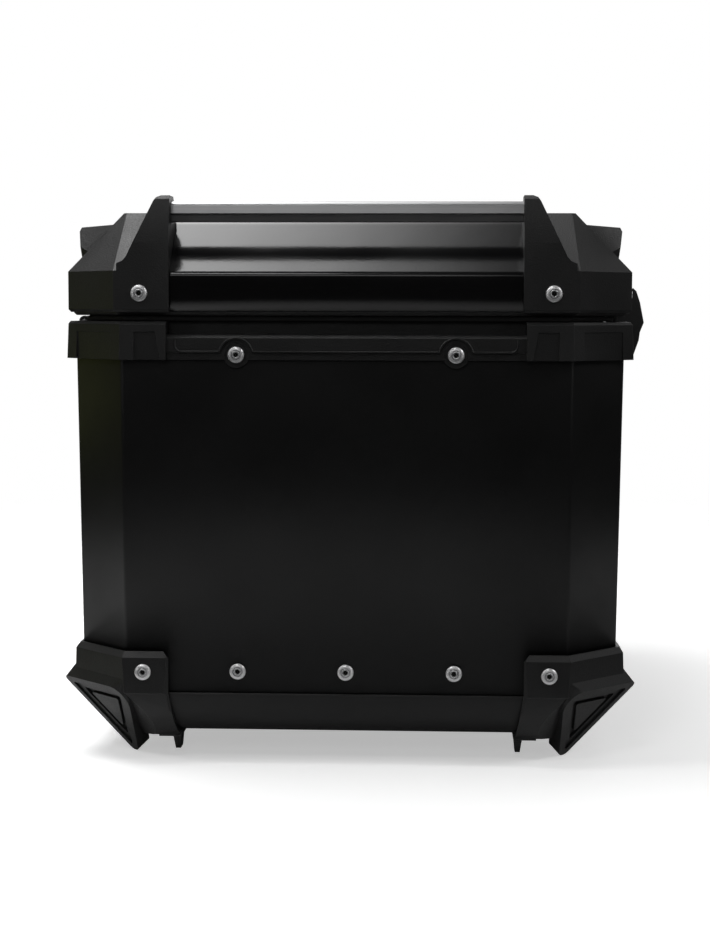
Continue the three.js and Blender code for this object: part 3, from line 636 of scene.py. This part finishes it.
def button_screw(name, seat, outward, body):
    """A black button-head screw with a hexagon socket."""
    rim = 2.7
    dome = [(rim, 0.0), (rim, 0.25)]
    dome += [(rim * math.cos(a), 0.25 + 1.2 * math.sin(a)) for a in (0.3, 0.6, 0.85, 1.05)]
    vertices, faces = lathe(dome, SCREW_SIDES)
    last = len(dome) - 1
    socket = []
    for angle in range(0, 360, 360 // SCREW_SIDES):
        socket.append((1.0 / math.cos(math.radians(angle % 60 - 30)), angle))
    for depth in (dome[last][1], dome[last][1] - 0.9):
        for across, angle in socket:
            turn = math.radians(angle)
            vertices.append((across * math.cos(turn), across * math.sin(turn), depth))
    for row in (last, last + 1):
        low, high = row * SCREW_SIDES, (row + 1) * SCREW_SIDES
        for side in range(SCREW_SIDES):
            after = (side + 1) % SCREW_SIDES
            faces.append((low + side, low + after, high + after, high + side))
    faces.append(tuple(range((last + 2) * SCREW_SIDES, (last + 3) * SCREW_SIDES)))
    place = facing(seat, outward)
    piece = mesh_object(name, [place @ Vector(v) for v in vertices], faces, LOOKS["black_steel"], False)
    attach(piece, body)


def hinge_screws():
    """Two button screws in each hinge leaf."""
    for side in ("left", "right"):
        for node, body, z_share in (("hinge_body_leaf", "body", 0.32), ("hinge_lid_leaf", "lid", 0.72)):
            low, high = span(f"{node}_{side}")
            face = HINGE_BODY_FACE if body == "body" else HINGE_LID_FACE
            z = low.z + (high.z - low.z) * z_share
            middle = (low.y + high.y) / 2
            for index, offset in enumerate((-19, 19)):
                seat = (face, middle + offset, z)
                button_screw(f"{node}_screw_{side}_{index + 1}", seat, (-1, 0, 0), body)



# ------------------------------------------------------------------ mouldings, seal, mat and liner

def tube(name, points, radius, look, body):
    """A round bead along points in millimetres."""
    curve = bpy.data.curves.new(name, "CURVE")
    curve.dimensions = "3D"
    curve.bevel_depth = radius * MM
    curve.bevel_resolution = 3
    curve.use_fill_caps = True
    line = curve.splines.new("POLY")
    line.points.add(len(points) - 1)
    for point, place in zip(line.points, points):
        point.co = (*(Vector(place) * MM), 1)
    curve.materials.append(look)
    piece = bpy.data.objects.new(name, curve)
    bpy.context.scene.collection.objects.link(piece)
    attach(piece, body)
    return piece


def rim_beads():
    """The bead along the foot of the rim's raised strip, arched over each rivet."""
    arch = 9.6
    foot = 226.7
    half = 98.0
    for sign, side in ((-1, "left"), (1, "right")):
        rivet_low, rivet_high = span(f"strip_rivet_{side}_1")
        rivet_z = (rivet_low.z + rivet_high.z) / 2
        rivet_x = abs(rivet_low.x + rivet_high.x) / 2
        y = sign * (span("rim_frame")[1].y - 0.25)
        path = [(-half, 233.6)]
        for step in range(7):
            angle = math.pi + math.pi / 2 * step / 6
            path.append((-half + 3.5 + 3.5 * math.cos(angle), foot + 3.5 + 3.5 * math.sin(angle)))
        for centre in (-rivet_x, rivet_x):
            start = math.asin((foot - rivet_z) / arch)
            for step in range(21):
                angle = math.pi - start - (math.pi - 2 * start) * step / 20
                path.append((centre + arch * math.cos(angle), rivet_z + arch * math.sin(angle)))
        path += [(-x, z) for x, z in reversed(path[:8])]
        tube(f"rim_bead_{side}", [(x, y, z) for x, z in path], 0.75, LOOKS["grained_plastic"], "body")


def seal():
    """A flat rubber seal with rounded edges, pressed against the lid's frame."""
    low, high = span("lid_seal")
    wide = 7.9
    middle = (low.z + high.z + 0.1) / 2
    tall = (high.z - low.z) / 2 + 0.15
    levels = []
    for step in range(16):
        angle = math.tau * (step + 0.5) / 16
        across = math.copysign(abs(math.cos(angle)) ** 0.35, math.cos(angle))
        up = math.copysign(abs(math.sin(angle)) ** 0.6, math.sin(angle))
        inset = (wide - 0.1) / 2 * (1 - across) + 0.05
        levels.append((inset, middle + tall * up, inset))
    set_in = (LID_WIDTH - high.x)
    cut = LID_CUT - 2 * set_in + ROOT2 * set_in
    piece = loft("lid_seal_profile", high.x, high.y, cut, levels, LOOKS["rubber"], 2.5)
    return stand_for(piece, "rubber", "lid_seal")


def floor_mat():
    """A moulded rubber mat: a raised border and rows of ribs."""
    low, high = span("floor_mat")
    base = (low.z + high.z) / 2
    mesh = bmesh.new()
    step = 3.0
    columns = int((high.x - low.x) / step)
    rows = int((high.y - low.y) / step)
    grid = {}
    for i in range(columns + 1):
        for j in range(rows + 1):
            x = low.x + (high.x - low.x) * i / columns
            y = low.y + (high.y - low.y) * j / rows
            edge = min(i, j, columns - i, rows - j)
            height = high.z - 0.3 if edge in (1, 2) else base + 0.2
            if edge > 3 and j % 4 < 2:
                height = high.z - 0.6
            if edge == 0:
                height = low.z + 0.2
            grid[i, j] = mesh.verts.new(Vector((x, y, height)) * MM)
    for i in range(columns):
        for j in range(rows):
            square = (grid[i, j], grid[i + 1, j], grid[i + 1, j + 1], grid[i, j + 1])
            mesh.faces.new(square).smooth = True
    data = bpy.data.meshes.new("floor_mat_ribbed")
    mesh.to_mesh(data)
    mesh.free()
    data.materials.append(LOOKS["rubber"])
    piece = bpy.data.objects.new("floor_mat_ribbed", data)
    bpy.context.scene.collection.objects.link(piece)
    return stand_for(piece, "rubber", "floor_mat")


LINER_COLUMNS, LINER_ROWS = 4, 6       # quilted cells
LINER_CELL = 12                        # mesh squares along a cell


def near_key(point):
    """A point in millimetres, rounded so that it can be looked up."""
    return tuple(round(value, 2) for value in point)


def liner_grid(low, high):
    """A flat closed pad: the lower sheet is the felt face, the upper one lies on the lid. Also
    gives the keys of the points that are sewn or glued."""
    columns, rows = LINER_COLUMNS * LINER_CELL, LINER_ROWS * LINER_CELL
    vertices, seams = [], set()
    for sheet in (0, 1):
        for i in range(columns + 1):
            for j in range(rows + 1):
                border = i in (0, columns) or j in (0, rows)
                u, v = 2 * i / columns - 1, 2 * j / rows - 1
                pull = 1 - 0.012 * (u * u * v * v)
                x = (low.x + high.x) / 2 + (high.x - low.x) / 2 * u * pull
                y = (low.y + high.y) / 2 + (high.y - low.y) / 2 * v * pull
                z = high.z - 0.4 if sheet else high.z - 1.6
                if border:
                    z = high.z - 1.0
                if i % LINER_CELL == 0 or j % LINER_CELL == 0 or sheet:
                    seams.add(near_key((x, y, z)))
                vertices.append((x, y, z))
    faces = []
    per_sheet = (columns + 1) * (rows + 1)
    for i in range(columns):
        for j in range(rows):
            corner = i * (rows + 1) + j
            square = (corner, corner + 1, corner + rows + 2, corner + rows + 1)
            faces.append(square)
            faces.append(tuple(per_sheet + index for index in reversed(square)))
    return vertices, faces, seams


def puff_by_cloth(piece, seams, lowest):
    """Inflates the pad between its seams with Blender's cloth, then keeps the shape."""
    pins = piece.vertex_groups.new(name="seams")
    pins.add(seams, 1.0, "REPLACE")
    modifier = piece.modifiers.new("cloth", "CLOTH")
    settings = modifier.settings
    settings.quality = 6
    settings.mass = 0.25
    settings.tension_stiffness = 4
    settings.compression_stiffness = 4
    settings.shear_stiffness = 2
    settings.bending_stiffness = 0.1
    settings.use_pressure = True
    settings.uniform_pressure_force = 8
    settings.shrink_min = -0.015         # a little more cloth than the seams leave room for
    settings.vertex_group_mass = "seams"
    settings.effector_weights.gravity = 0
    modifier.collision_settings.use_collision = False
    modifier.point_cache.frame_start = 1
    modifier.point_cache.frame_end = CLOTH_STEPS
    flat = [vertex.co.copy() for vertex in piece.data.vertices]
    for step in range(1, CLOTH_STEPS + 1):
        bpy.context.scene.frame_set(step)
    settled = piece.evaluated_get(bpy.context.evaluated_depsgraph_get())
    places = [vertex.co.copy() for vertex in settled.data.vertices]
    piece.modifiers.remove(modifier)
    piece.vertex_groups.clear()
    for vertex, start, place in zip(piece.data.vertices, flat, places):
        vertex.co = start + (place - start) * min(1.0, 6 * MM / max((place - start).length, 1e-9))
        vertex.co.z = max(vertex.co.z, lowest)
    bpy.context.scene.frame_set(1)


def lid_liner():
    """Quilted felt pad glued inside the lid's top, with its stitches."""
    low, high = span("lid_liner")
    vertices, faces, seams = liner_grid(low, high)
    piece = mesh_object("lid_liner_quilted", vertices, faces, LOOKS["lining"])
    mesh = bmesh.new()
    mesh.from_mesh(piece.data)
    bmesh.ops.remove_doubles(mesh, verts=mesh.verts, dist=0.01 * MM)
    mesh.to_mesh(piece.data)
    mesh.free()
    sewn = [v.index for v in piece.data.vertices if near_key(v.co / MM) in seams]
    puff_by_cloth(piece, sewn, (low.z - 3) * MM)
    piece.modifiers.new("smooth", "SUBSURF").render_levels = 1
    stand_for(piece, "lining", "lid_liner")
    stitches(low, high)


def stitches(low, high):
    """Short raised threads along every seam of the liner."""
    pitch, length, thick = 5.0, 3.2, 0.45
    mesh = bmesh.new()
    z = (high.z - 1.9) * MM

    def stitch(x, y, along_x):
        size = (length, thick, thick) if along_x else (thick, length, thick)
        place = Matrix.Translation((x * MM, y * MM, z)) @ Matrix.Diagonal((*(Vector(size) * MM), 1))
        bmesh.ops.create_icosphere(mesh, subdivisions=1, radius=0.5, matrix=place)

    for column in range(1, LINER_COLUMNS):
        x = low.x + (high.x - low.x) * column / LINER_COLUMNS
        for index in range(int((high.y - low.y) / pitch)):
            stitch(x, low.y + pitch * (index + 0.5), False)
    for row in range(1, LINER_ROWS):
        y = low.y + (high.y - low.y) * row / LINER_ROWS
        for index in range(int((high.x - low.x) / pitch)):
            stitch(low.x + pitch * (index + 0.5), y, True)
    data = bpy.data.meshes.new("liner_stitches")
    mesh.to_mesh(data)
    mesh.free()
    data.polygons.foreach_set("use_smooth", [True] * len(data.polygons))
    data.materials.append(THREAD)
    piece = bpy.data.objects.new("liner_stitches", data)
    bpy.context.scene.collection.objects.link(piece)
    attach(piece, body_of("lid_liner"))


COLLAR = rivet_collar()
STEM = rivet_stem()
THREAD = thread()
random.seed(7)
REBUILT = {"body_wall", "lid_shell", "lid_seal", "floor_mat", "lid_liner"}
turned_rivets()
end_rivets()
hinge_screws()
body_wall()
lid_shell()
rim_beads()
seal()
floor_mat()
lid_liner()
for plain_node in sorted(set(NODES) - REBUILT):
    dress(plain_node)


# ------------------------------------------------------------------ stage, lights and camera

FLOOR_Z = CAD_BOX[0][2]
CASE_CENTRE = Vector((0, 0, 0.15))
EYE = (0.0530, -1.2667, 0.2500)
EYE_YAW, EYE_PITCH, EYE_ROLL = (math.radians(angle) for angle in (2.571, 5.005, 0.140))
EYE_LENS = 70.42


def ramp(tree, value, start, end, low, high):
    """A smooth ramp over `value`, from `low` at `start` to `high` at `end`."""
    node = tree.nodes.new("ShaderNodeMapRange")
    node.interpolation_type = "SMOOTHSTEP"
    node.inputs["From Min"].default_value = start
    node.inputs["From Max"].default_value = end
    node.inputs["To Min"].default_value = low
    node.inputs["To Max"].default_value = high
    tree.links.new(value, node.inputs["Value"])
    return node.outputs["Result"]


def floor():
    """A pale round floor that fades into the white backdrop. To the case it is pale only nearby and
    behind, so that the near side keeps its depth."""
    radius = 1.5
    mesh = bmesh.new()
    bmesh.ops.create_circle(mesh, cap_ends=True, radius=radius, segments=96)
    data = bpy.data.meshes.new("floor")
    mesh.to_mesh(data)
    mesh.free()
    material = bpy.data.materials.new("pale_floor")
    material.use_nodes = True
    tree = material.node_tree
    shader = tree.nodes["Principled BSDF"]
    shader.inputs["Roughness"].default_value = 0.8
    shader.inputs["Specular IOR Level"].default_value = 0.0
    place = tree.nodes.new("ShaderNodeTexCoord").outputs["Object"]
    length = tree.nodes.new("ShaderNodeVectorMath")
    length.operation = "LENGTH"
    tree.links.new(place, length.inputs[0])
    distance = length.outputs["Value"]
    fade = ramp(tree, distance, radius * 0.4, radius * 0.95, 1, 0)
    tree.links.new(fade, shader.inputs["Alpha"])
    seen = tree.nodes.new("ShaderNodeLightPath").outputs["Is Camera Ray"]
    depth = tree.nodes.new("ShaderNodeSeparateXYZ")
    tree.links.new(place, depth.inputs[0])
    either = tree.nodes.new("ShaderNodeMath")
    either.operation = "MAXIMUM"
    tree.links.new(ramp(tree, distance, 0.27, 0.40, 0.8, 0.03), either.inputs[0])
    tree.links.new(ramp(tree, depth.outputs["Y"], 0.25, 0.70, 0, 0.8), either.inputs[1])
    albedo = tree.nodes.new("ShaderNodeMix")
    albedo.data_type = "FLOAT"
    albedo.inputs["B"].default_value = 0.9
    tree.links.new(seen, albedo.inputs["Factor"])
    tree.links.new(either.outputs[0], albedo.inputs["A"])
    tree.links.new(albedo.outputs["Result"], shader.inputs["Base Color"])
    glow = tree.nodes.new("ShaderNodeMath")
    glow.operation = "MULTIPLY"
    glow.inputs[1].default_value = 0.45
    tree.links.new(seen, glow.inputs[0])
    shader.inputs["Emission Color"].default_value = (1, 1, 1, 1)
    tree.links.new(glow.outputs[0], shader.inputs["Emission Strength"])
    data.materials.append(material)
    plane = bpy.data.objects.new("floor", data)
    plane.location.z = FLOOR_Z - 0.0002
    bpy.context.scene.collection.objects.link(plane)


def soft_light(name, place, target, size, radiance, colour=(1, 1, 1)):
    """A rectangular soft light whose surface has the given radiance."""
    data = bpy.data.lights.new(name, "AREA")
    data.shape = "RECTANGLE"
    data.size, data.size_y = size
    data.energy = radiance * math.pi * size[0] * size[1]
    data.color = colour
    light = bpy.data.objects.new(name, data)
    light.location = place
    light.rotation_euler = (Vector(target) - Vector(place)).to_track_quat("-Z", "Y").to_euler()
    light.visible_camera = False
    bpy.context.scene.collection.objects.link(light)
    return light


def fade_across(light, start, end, weak):
    """Lets a soft light fall off from full strength at `start` to `weak` at `end`, as shares of
    its width from its left edge."""
    light.data.use_nodes = True
    tree = light.data.node_tree
    where = tree.nodes.new("ShaderNodeNewGeometry").outputs["Parametric"]
    across = tree.nodes.new("ShaderNodeSeparateXYZ")
    tree.links.new(where, across.inputs[0])
    fall = ramp(tree, across.outputs["X"], start, end, 1.0, weak)
    tree.links.new(fall, tree.nodes["Emission"].inputs["Strength"])


def lights():
    """A broad overhead light, soft lights at both sides, in front and behind, and a low olive card
    at the left."""
    overhead = soft_light("overhead", (-0.08, 0.13, 1.30), (-0.08, 0.13, 0.3), (1.35, 1.0), 6.9)
    fade_across(overhead, 0.315, 0.715, 0.04)
    soft_light("left_card", (-1.4, 0.25, 0.03), (0, 0.1, 0.05), (0.6, 0.4), 0.45, (0.90, 1.0, 0.20))
    soft_light("left_high", (-1.2, -0.5, 1.1), CASE_CENTRE, (0.5, 0.5), 3.0)
    soft_light("right_high", (1.2, -0.5, 1.1), CASE_CENTRE, (0.5, 0.5), 6.2)
    soft_light("front_high", (-0.2, -1.9, 1.0), CASE_CENTRE, (0.9, 0.4), 1.6)
    soft_light("front_top", (-0.35, -1.2, 1.4), CASE_CENTRE, (0.5, 0.25), 6.0)
    soft_light("front_left", (-1.2, -1.2, 0.3), CASE_CENTRE, (0.3, 0.5), 2.0)
    soft_light("front_right", (1.2, -1.2, 0.3), CASE_CENTRE, (0.3, 0.5), 2.0)
    soft_light("back", (0.2, 2.1, 0.9), CASE_CENTRE, (1.6, 0.9), 2.2)
    soft_light("right_back", (1.6, 1.3, 0.9), CASE_CENTRE, (0.8, 0.8), 0.35)


def backdrop():
    """White to the camera. To the case it is dim, and brighter behind, so that the near side keeps
    its depth."""
    world = bpy.data.worlds.new("studio")
    world.use_nodes = True
    tree = world.node_tree
    seen = tree.nodes.new("ShaderNodeBackground")
    seen.inputs["Color"].default_value = (1, 1, 1, 1)
    unseen = tree.nodes["Background"]
    unseen.inputs["Color"].default_value = (1, 1, 1, 1)
    towards = tree.nodes.new("ShaderNodeSeparateXYZ")
    tree.links.new(tree.nodes.new("ShaderNodeTexCoord").outputs["Generated"], towards.inputs[0])
    behind = ramp(tree, towards.outputs["Y"], 0.45, 0.95, 0.02, 0.7)
    tree.links.new(behind, unseen.inputs["Strength"])
    choose = tree.nodes.new("ShaderNodeMixShader")
    tree.links.new(tree.nodes.new("ShaderNodeLightPath").outputs["Is Camera Ray"], choose.inputs[0])
    tree.links.new(unseen.outputs[0], choose.inputs[1])
    tree.links.new(seen.outputs[0], choose.inputs[2])
    tree.links.new(choose.outputs[0], tree.nodes["World Output"].inputs["Surface"])
    bpy.context.scene.world = world


def camera():
    """The viewing angle: level with the lid, a little to the right of the middle."""
    data = bpy.data.cameras.new("camera")
    data.lens = EYE_LENS
    data.sensor_width = 36
    eye = bpy.data.objects.new("camera", data)
    aim = Matrix.Rotation(EYE_YAW, 4, "Z") @ Matrix.Rotation(math.pi / 2 - EYE_PITCH, 4, "X")
    eye.matrix_world = Matrix.Translation(EYE) @ aim @ Matrix.Rotation(EYE_ROLL, 4, "Z")
    bpy.context.scene.collection.objects.link(eye)
    bpy.context.scene.camera = eye


floor()
lights()
backdrop()
camera()
bpy.context.scene.view_settings.view_transform = "Standard"
